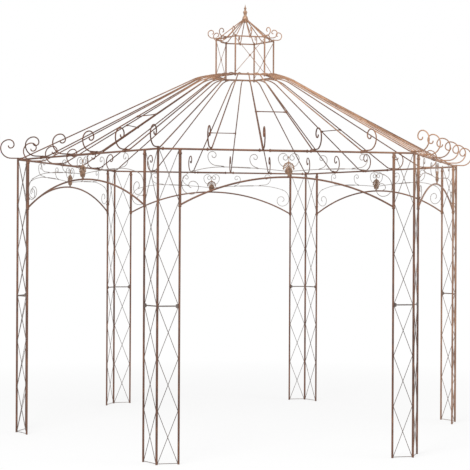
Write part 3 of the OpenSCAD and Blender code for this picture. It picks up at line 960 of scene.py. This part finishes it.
@dataclass
class ScrollFittings(Fittings):
    """Welds and rounded ends of the wire scrollwork.

    Attributes:
        shoulder: Distance from the vine's highest point to the sleeve.
        drop: Drop from the beam to the vine's highest point.
        dip: Fall of the vine from there to the palmette.
        fall: Fall of the vine from there to where it meets the sleeve.
        cup: Half width of the palmette's cup.
        corner_curl: Radii of the curl in the corner.
        outer: Straight length and angle of the outer curl.
        outer_curl: Radii of the outer curl.
        inner_place: Place of the inner curl, as a share of the way to the highest point.
        inner_curl: Radii of the inner curl.
        flank: Distance from the side's middle, and drop from the beam, of the curl by the palmette.
        flank_curl: Radii of that curl.
        weld: Size of a weld.
    """

    shoulder: float = 0.319
    drop: float = 0.130
    dip: float = 0.024
    fall: float = 0.135
    cup: float = 0.030
    corner_curl: tuple[float, ...] = (0.073, 0.054, 0.044, 0.030, 0.018)
    outer: tuple[float, float] = (0.060, math.radians(5))
    outer_curl: tuple[float, ...] = (0.068, 0.034, 0.028, 0.017, 0.014)
    inner_place: float = 0.48
    inner_curl: tuple[float, ...] = (0.065, 0.034, 0.023, 0.015, 0.012)
    flank: tuple[float, float] = (0.081, 0.020)
    flank_curl: tuple[float, ...] = (0.038, 0.034, 0.017, 0.017, 0.017)
    weld: float = 0.0034

    def build(self) -> None:
        """Make the pieces."""
        wire, lap = STOCK.wire, 2 * STOCK.wire + STOCK.seat
        end = self.layout.sleeve_place - STOCK.sleeve - wire - STOCK.seat
        crest, height = end - self.shoulder, self.layout.eave_height - self.drop
        start = self.cup + STOCK.seat + 2 * wire * self.dip / crest
        bow = ((crest - start) ** 2 + self.dip ** 2) / (2 * self.dip)
        lean = math.asin((1 - self.inner_place) * crest / bow)
        side_on, foot = self.flank[0], self.layout.eave_height - self.flank[1] - self.flank_curl[0]
        curls = (
            moved(end, height - self.fall) @ self._turn(-math.pi / 2) @ Matrix.Diagonal((1.0, -1.0, 1.0, 1.0))
            @ curl_end(self.corner_curl),
            moved(crest, height + lap) @ self._turn(self.outer[1]) @ moved(self.outer[0], 0)
            @ curl_end(self.outer_curl),
            moved(crest, height - bow) @ self._turn(lean) @ moved(0, bow + lap) @ curl_end(self.inner_curl),
            moved(side_on, foot) @ self._turn(math.pi / 2) @ curl_end(self.flank_curl),
        )
        along = (2.0, 0.6, 0.9)
        joints = (
            (end + wire, height - self.fall, (0.55, 2.0, 0.9)),
            (end + wire, height - self.fall + 0.016, (0.5, 1.4, 0.8)),
            (self.cup, height - self.dip, (0.7, 1.1, 1.0)),
            (crest + 0.012, height + wire + 0.0006, along),
            (crest - bow * math.sin(lean) + 0.010, height - bow + bow * math.cos(lean) + wire + 0.001, along),
            (side_on + wire * 0.2, foot, (1.0, 1.6, 1.0)),
        )
        for side, way in self.layout.ends():
            half = side @ Matrix.Diagonal((way, 1.0, 1.0, 1.0))
            for curl in curls:
                self.tips.tip(half @ curl, wire)
            for x, y, squash in joints:
                self.welds.weld(half @ moved(x, y), self.weld, squash)
        self.tips.piece("scroll_tips", Slot.SCROLL, self.finishes, crease=60)
        self.welds.piece("scroll_welds", Slot.SCROLL, self.finishes, crease=80)

    @staticmethod
    def _turn(angle: float) -> Matrix:
        """Turn in the plane of the side."""
        return Matrix.Rotation(angle, 4, "Z")


@dataclass
class PalmetteRelief(Fittings):
    """Relief on both faces of the castings over the arches.

    Attributes:
        fan_rise: Height of the fan's centre above the casting's foot.
        fan_radius: Radius of the fan's rim.
        rim: Distance from there to the thin roll inside it.
        scallop: Radius of the scallops.
        inset: Distance from a scallop's edge to its roll's centre line.
        rolls: Radius of the roll round a scallop, and of the thin one.
        steps: Steps along the thin roll.
        pearl: Size of a scallop's pearl, and its distance inside the scallop's middle.
        ribs: Ribs in the fan.
        start: Angle of the lowest rib.
        rib: Places along a rib, as shares of the fan's radius, and its radii there.
        rib_rise: Rise of a rib's middle over the fan's face.
        bold: Size of the middle rib, where the others have 1.
        boss: Radius of the fan's boss, and of the ring round it.
        cup: Heights and half widths of the cup's outline.
        leaf: Heights along a leaf of the cup, and its radii there.
        vein: Heights along a leaf's vein, and its radii there.
        lifts: Rise over the cup's face of a leaf and of its vein.
        leaf_length: Height over which a leaf swells and falls.
        spread: Leaves that the cup's half width has room for.
        lip: Places along the cup's lip, as shares of its half length, and its radii there.
        lip_size: Half length, height and rise of the lip.
        knobs: Place and size of the knobs on one half of the cup.
        neck_bands: Heights of the bands on the neck.
        neck: Places across the neck that they run through.
        neck_band: Radius of a band.
        tip_rise: Height of the fan's tip above its rim.
        tip: Radii and heights of the fan's tip.
        bud_rise: Height of the bud above the fan's centre.
        bud: Half width and half height of the bud.
        bud_shape: Its outline, as shares of those.
        faces: Half thickness of the fan and of the cup.
    """

    fan_rise: float = 0.062
    fan_radius: float = 0.042
    rim: float = 0.0046
    scallop: float = 0.009
    inset: float = 0.0021
    rolls: tuple[float, float] = (0.0023, 0.0014)
    steps: int = 36
    pearl: tuple[float, float] = (0.0034, 0.001)
    ribs: int = 7
    start: float = math.radians(8)
    rib: Outline = ((0.18, 0.0013), (0.36, 0.0021), (0.55, 0.0029), (0.74, 0.0033), (0.9, 0.0022))
    rib_rise: float = 0.0016
    bold: float = 1.35
    boss: tuple[float, float] = (0.0078, 0.0082)
    cup: Outline = ((0.0, 0.008), (0.012, 0.008), (0.014, 0.024), (0.039, 0.030), (0.0528, 0.0255), (0.066, 0.018))
    leaf: Outline = ((0.016, 0.0020), (0.026, 0.0038), (0.038, 0.0048), (0.048, 0.0046), (0.057, 0.0036),
                     (0.064, 0.0018))
    vein: Outline = ((0.022, 0.0005), (0.034, 0.0009), (0.046, 0.0009), (0.056, 0.0004))
    lifts: tuple[float, float] = (0.0014, 0.0048)
    leaf_length: float = 0.068
    spread: float = 2.4
    lip: Outline = ((-1, 0.0018), (-0.6, 0.0025), (-0.2, 0.0028), (0.2, 0.0028), (0.6, 0.0025), (1, 0.0018))
    lip_size: Point = (0.0175, 0.064, 0.0015)
    knobs: tuple[Point, ...] = ((0.0215, 0.0175, 0.0034), (0.0262, 0.0375, 0.0038))
    neck_bands: tuple[float, float] = (0.003, 0.0095)
    neck: tuple[float, ...] = (-0.0088, -0.003, 0.003, 0.0088)
    neck_band: float = 0.0018
    tip_rise: float = 0.013
    tip: Outline = ((0, -0.0035), (0.0030, -0.0028), (0.0046, 0), (0.0030, 0.0028), (0.0022, 0.006), (0, 0.0065))
    bud_rise: float = 0.082
    bud: tuple[float, float] = (0.005, 0.010)
    bud_shape: Outline = ((0, -1.04), (0.45, -0.84), (0.85, -0.45), (1.06, 0), (0.85, 0.45), (0.45, 0.84), (0, 1.04))
    faces: tuple[float, float] = (0.002, 0.004)

    def build(self) -> None:
        """Make the piece."""
        foot = moved(0, self.layout.arch_top + STOCK.seat)
        for side, way in self.layout.ends():
            self._fan(side @ foot, way)
            self._cup(side @ foot, way)
        bud = [(self.bud[0] * wide, self.bud[1] * tall) for wide, tall in self.bud_shape]
        for side in self.layout.sides():
            fan = side @ foot @ moved(0, self.fan_rise)
            self.bands.turned(bud, fan @ moved(0, self.bud_rise) @ UPRIGHT, 16)
            self.bands.turned(self.tip, fan @ moved(0, self.fan_radius + self.tip_rise) @ UPRIGHT, 16)
        self.bands.piece("palmette_relief", Slot.CAST, self.finishes, crease=50)

    def half_width(self, height: float) -> float:
        """Half width of the cup.

        Args:
            height: Height above its foot.

        Returns:
            The half width there.
        """
        for (low, near), (high, far) in zip(self.cup, self.cup[1:]):
            if height <= high:
                return near + (far - near) * (height - low) / (high - low)
        return self.cup[-1][1]

    def _fan(self, side: Matrix, way: int) -> None:
        """Raise the ribs, the scalloped rim, its pearls and the boss of one face of a fan.

        Args:
            side: Frame of the casting.
            way: Which face.
        """
        step = (math.pi - 2 * self.start) / (self.ribs - 1)
        outward = side.to_3x3() @ (UP * way)
        face = side @ moved(0, self.fan_rise, way * self.faces[0])
        for rib in range(self.ribs):
            bold = self.bold if rib == self.ribs // 2 else 1.0
            path = [face @ polar(self.fan_radius * share, self.start + rib * step,
                                 way * self.rib_rise * math.sin(math.pi * share)) for share, _ in self.rib]
            self.bands.swept(path, [radius * bold for _, radius in self.rib], outward, 10, 0.7)
        lobe_place, lobe = self.fan_radius - self.scallop / 2, self.scallop - self.inset
        pearl, inside = self.pearl
        for i in range(self.ribs + 1):
            angle = self.start + (i - 0.5) * step
            path = [face @ (polar(lobe_place, angle) + polar(lobe, angle + math.radians(degrees)))
                    for degrees in range(-72, 73, 12)]
            self.bands.swept(path, self.rolls[0], outward, 8, 0.9)
            self.bands.weld(facing(face @ polar(lobe_place - inside, angle), outward), pearl)
        sweep = math.pi - 2 * self.start + step
        turns = [self.start - step / 2 + sweep * i / self.steps for i in range(self.steps + 1)]
        roll = [face @ polar(self.fan_radius - self.rim, angle) for angle in turns]
        self.bands.swept(roll, self.rolls[1], outward, 8, 0.9)
        middle = facing(face @ Vector(), outward)
        self.bands.weld(middle, self.boss[0], (1.0, 1.0, 0.7))
        self.bands.ring(self.boss[1], 0.0012, middle, 28)

    def _cup(self, side: Matrix, way: int) -> None:
        """Raise the leaves, lip, knobs and neck bands of one face of a cup.

        Args:
            side: Frame of the casting.
            way: Which face.
        """
        outward = side.to_3x3() @ (UP * way)
        face = side @ moved(0, 0, way * self.faces[1])
        for leaf in (-2, -1, 0, 1, 2):
            for line, lift, around, flat in ((self.leaf, self.lifts[0], 10, 0.7), (self.vein, self.lifts[1], 6, 1.0)):
                path = []
                for y, _ in line:
                    swell = math.sin(math.pi * y / self.leaf_length) if line is self.leaf else 1.0
                    path.append(face @ Vector((leaf / self.spread * self.half_width(y), y, way * lift * swell)))
                self.bands.swept(path, [radius for _, radius in line], outward, around, flat)
        half, height, rise = self.lip_size
        lip = [face @ Vector((half * share, height + rise * math.cos(share * 1.5), 0)) for share, _ in self.lip]
        self.bands.swept(lip, [radius for _, radius in self.lip], outward, 8, 0.9)
        for hand in ENDS:
            for x, y, size in self.knobs:
                knob = facing(face @ Vector((hand * x, y, 0)), outward)
                self.bands.ring(size, 0.0014, knob, 18)
                self.bands.weld(knob, size * 0.55)
        for y in self.neck_bands:
            band = [side @ Vector((x, y, way * self.faces[1] * 0.98)) for x in self.neck]
            self.bands.swept(band, self.neck_band, outward, 8, 0.9)


@dataclass
class CrownFittings(Fittings):
    """Bolts of the crown ring, the lantern and the cap ring.

    Attributes:
        bolt: Width and height of the bolts that hold the rafters.
        post_nut: Width and height of the nuts under and over the lantern posts.
        rod_nut: Width and height of the nuts under the cap rods.
        rafter_weld: Radius and thickness of the weld round a rafter's end, and its distance from the ring.
        post_weld: Room round a lantern post, and thickness, of its weld.
        boss: Radii and heights of the boss where two rods cross.
        crossed: Lantern sides with crossed rods.
        cap_rods: Number of cap rods.
        cap_reach: Level length of a cap rod outside the ring.
        cap_curl: Radii of the quarter turns of a cap rod's end.
    """

    bolt: tuple[float, float] = (0.010, 0.004)
    post_nut: tuple[float, float] = (0.014, 0.006)
    rod_nut: tuple[float, float] = (0.011, 0.005)
    rafter_weld: Point = (0.0056, 0.0018, 0.001)
    post_weld: tuple[float, float] = (0.0006, 0.0022)
    boss: Outline = ((0, -0.0042), (0.0085, -0.0042), (0.0098, -0.0026), (0.0098, 0.0026), (0.0085, 0.0042),
                     (0, 0.0042))
    crossed: tuple[int, ...] = (0, 2, 4)
    cap_rods: int = 12
    cap_reach: float = 0.036
    cap_curl: tuple[float, ...] = (0.038, 0.030, 0.020, 0.012)

    def build(self) -> None:
        """Make the pieces."""
        self._rafter_ends()
        self._lantern()
        self._cap()
        self.bolts.piece("crown_bolts", Slot.TUBE, self.finishes)
        self.welds.piece("crown_welds", Slot.TUBE, self.finishes)
        self.tips.piece("cap_tips", Slot.ROOF, self.finishes, crease=60)

    def _rafter_ends(self) -> None:
        """Bolt each rafter to the crown ring from inside, and weld it outside."""
        radius, thickness, gap = self.rafter_weld
        for rafter in self.layout.rafters():
            out = polar(1.0, rafter.angle)
            normal = rafter.side.to_3x3() @ UP if rafter.bay else out
            half = STOCK.crown if rafter.bay else STOCK.crown / math.cos(TURN / 2)
            edge = polar(self.layout.reach(self.layout.lantern_radius, rafter.angle), rafter.angle,
                         self.layout.crown_height)
            self.bolts.bolt(facing(edge - normal * half, -normal), *self.bolt)
            self.welds.ring(radius, thickness, facing(edge + out * (half + gap), out), 16, 6)

    def _lantern(self) -> None:
        """Weld and bolt the lantern posts at both ends, and cover the crossings of their rods."""
        top = self.layout.crown_height + STOCK.crown
        bottom = self.layout.cap_height - STOCK.cap
        for index in range(SIDES):
            post = polar(self.layout.lantern_radius, index * TURN)
            for level, half in ((self.layout.crown_height, STOCK.crown), (self.layout.cap_height, -STOCK.cap)):
                self.welds.ring(STOCK.post + self.post_weld[0], self.post_weld[1],
                                Matrix.Translation(post + UP * (level + half)), 20, 6)
                outward = UP * -math.copysign(1, half)
                self.bolts.bolt(facing(post + UP * (level - half), outward), *self.post_nut, Head.NUT)
        for index in self.crossed:
            angle = (index + 0.5) * TURN
            centre = polar(self.layout.reach(self.layout.lantern_radius, angle), angle, (top + bottom) / 2)
            self.welds.turned(self.boss, facing(centre, polar(1.0, angle)), 24)

    def _cap(self) -> None:
        """Round off the cap rods, and put a nut under those that stand off the corners."""
        level = self.layout.cap_height + STOCK.cap + STOCK.cap_rod + STOCK.seat
        for rod in range(self.cap_rods):
            angle = rod * 2 * math.pi / self.cap_rods
            reach = self.layout.reach(self.layout.lantern_radius, angle)
            start = moved(reach + self.cap_reach, level)
            self.tips.tip(lifted(angle) @ start @ curl_end(self.cap_curl), STOCK.cap_rod)
            if rod % 2:
                under = polar(reach, angle, self.layout.cap_height - STOCK.cap)
                self.bolts.bolt(facing(under, -UP), *self.rod_nut, Head.NUT)


@dataclass
class FinialCasting(Fittings):
    """Turned finial, cast with beads and fluted base, in place of its plain solid.

    Attributes:
        collar: Radius and height of the collar at its foot.
        profile: Heights above the collar and radii, smooth between them.
        beads: Height above the collar, radius and thickness of each bead.
        flutes: Flutes round the base.
        flute: Depth of a flute, and height of its middle and half its length above the collar.
        around: Faces around it.
        steps: Steps between two heights of the profile.
    """

    collar: tuple[float, float] = (0.024, 0.030)
    profile: Outline = ((0.0, 0.0265), (0.011, 0.0245), (0.037, 0.0125), (0.062, 0.0190), (0.084, 0.0072),
                        (0.096, 0.0122), (0.108, 0.0052), (0.132, 0.0006))
    beads: tuple[Point, ...] = ((-0.0265, 0.0234, 0.0022), (-0.002, 0.0252, 0.0026), (0.0375, 0.0122, 0.0022),
                                (0.0835, 0.0068, 0.0017), (0.1085, 0.0046, 0.0013))
    flutes: int = 12
    flute: Point = (0.0016, 0.018, 0.017)
    around: int = 72
    steps: int = 8

    def build(self) -> None:
        """Make the piece."""
        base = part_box("finial")[0].z
        foot = base + self.collar[1]
        outline = [(0.0, base), (self.collar[0], base), (self.collar[0], foot - 0.001)]
        for (low, near), (high, far) in zip(self.profile, self.profile[1:]):
            for share in (i / self.steps for i in range(self.steps)):
                swell = near + (far - near) * (1 - math.cos(math.pi * share)) / 2
                outline.append((swell, foot + low + (high - low) * share))
        tall, point = self.profile[-1]
        outline += [(point, foot + tall), (0.0, foot + tall + 0.0006)]
        self.bands.bridge([self._fluted(radius, height, foot) for radius, height in outline])
        for height, radius, bead in self.beads:
            self.bands.ring(radius, bead, moved(0, 0, foot + height), 40)
        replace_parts(self.bands.piece("finial_casting", Slot.CAST, self.finishes, crease=50), "finial")

    def _fluted(self, radius: float, height: float, foot: float) -> list[Vector]:
        """Draw the finial's section at one height.

        Args:
            radius: Its radius between flutes.
            height: Its height.
            foot: Height of the collar's top.

        Returns:
            The section's points.
        """
        if radius == 0.0:
            return [UP * height]
        depth, middle, half = self.flute
        depth *= max(0.0, min(1.0, 1 - abs(height - foot - middle) / half))
        turns = [math.pi * i / self.around for i in range(self.around)]
        return [polar(radius - depth * abs(math.sin(self.flutes * turn)), 2 * turn, height) for turn in turns]


# ---------------------------------------------------------------- studio


@dataclass
class Studio:
    """Plain floor, soft lights and the camera.

    Attributes:
        height: Height of the camera.
        distance: Distance from the camera to the pavilion's middle, along the view.
        aside: Offset of the middle to the right of the view's line.
        yaw: Direction of the view, turned from +Y towards +X.
        roll: Turn of the camera about its own line of sight.
        lens: Focal length for a sensor 36 mm wide.
        floor_radius: Radius of the floor.
        shaded: Distances between which the floor's shading fades, and its share before that.
        daylight: Strength of the light from all round.
        lamps: Name, place, size and power of each lamp.
    """

    height: float = 1.718
    distance: float = 11.230
    aside: float = 0.0808
    yaw: float = math.radians(10.81)
    roll: float = math.radians(0.30)
    lens: float = 95.97
    floor_radius: float = 60.0
    shaded: Point = (2.0, 6.0, 0.24)
    daylight: float = 0.55
    lamps: tuple[tuple[str, Point, float, float], ...] = (("key", (-4.5, -6.5, 8.5), 4.0, 700.0),
                                                          ("fill", (7.0, -4.0, 5.5), 5.0, 260.0))

    def build(self) -> None:
        """Make the camera, the floor, the world and the lights."""
        self._camera()
        self._floor()
        self._world()
        self._lights()
        bpy.context.scene.view_settings.view_transform = "Standard"

    def _camera(self) -> None:
        """Set the camera where the whole pavilion fills the frame."""
        forward = Vector((math.sin(self.yaw), math.cos(self.yaw), 0.0))
        right = forward.cross(UP)
        data = bpy.data.cameras.new("camera")
        data.sensor_width = 36.0
        data.lens = self.lens
        data.clip_end = 100.0
        camera = stood("camera", data)
        place = Matrix.Translation(UP * self.height - forward * self.distance - right * self.aside)
        camera.matrix_world = place @ framed(right, UP, -forward) @ Matrix.Rotation(self.roll, 4, "Z")
        bpy.context.scene.camera = camera

    def _floor(self) -> None:
        """Lay a pale floor that fades into the background."""
        mesh = bmesh.new()
        bmesh.ops.create_circle(mesh, cap_ends=True, radius=self.floor_radius, segments=96)
        data = bpy.data.meshes.new("floor")
        mesh.to_mesh(data)
        mesh.free()
        material = bpy.data.materials.new("pale_floor")
        material.use_nodes = True
        sheet = NodeSheet(material.node_tree)
        place = sheet.add("TexCoord").outputs["Object"]
        distance = sheet.add("VectorMath", place, operation="LENGTH").outputs["Value"]
        near, far, share = self.shaded
        plain = sheet.math("SUBTRACT", 1.0, sheet.ramp(distance, near, far, share, 0.0))
        lit = sheet.add("BsdfDiffuse", in_Color=(0.86, 0.86, 0.86, 1.0))
        bright = sheet.add("Emission", in_Color=WHITE, in_Strength=1.0)
        both = sheet.add("MixShader", sheet.times(sheet.backdrop_rays(), plain), lit.outputs[0], bright.outputs[0])
        sheet.add("OutputMaterial", both.outputs[0])
        data.materials.append(material)
        stood("floor", data)

    def _world(self) -> None:
        """Light the scene softly from all round, behind a white background."""
        world = bpy.data.worlds.new("studio")
        world.use_nodes = True
        sheet = NodeSheet(world.node_tree)
        strength = sheet.ramp(sheet.backdrop_rays(), 0.0, 1.0, self.daylight, 1.0)
        light = sheet.add("Background", in_Color=WHITE, in_Strength=strength)
        sheet.add("OutputWorld", light.outputs[0])
        bpy.context.scene.world = world

    def _lights(self) -> None:
        """Hang one large key light and a weaker fill, aimed at the eaves."""
        for name, place, size, power in self.lamps:
            data = bpy.data.lights.new(name, "AREA")
            data.size = size
            data.energy = power
            stood(name, data).matrix_world = facing(Vector(place), Vector(place) - UP * 2.0)


# ---------------------------------------------------------------- assembly


def dress_frame(frame: dict, finishes: Finishes) -> None:
    """Give every CAD node its finish.

    Args:
        finishes: Materials by slot.
    """
    slots = {part["node"]: Slot(part["material_slot"]) for part in frame["record"]["subparts"]}
    for name, node in frame["nodes"].items():
        node.data.materials.clear()
        node.data.materials.append(finishes[slots[name]])
        LOG.info("%s: %s", name, slots[name].value)


def main() -> None:
    """Build the pavilion's looks, in order."""
    logging.basicConfig(level=logging.INFO, format="%(message)s")
    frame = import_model()
    Studio().build()
    effect = aged_look_and_painted_light_group()
    finishes = {finish.slot: finish.material(effect) for finish in IRON_FINISHES}
    dress_frame(frame, finishes)
    layout = Layout.from_frame()
    for kind in (PostFittings, BeamFittings, RoofFittings, ScrollFittings, PalmetteRelief, CrownFittings,
                 FinialCasting):
        kind(layout, finishes).build()


if __name__ == "__main__":
    main()
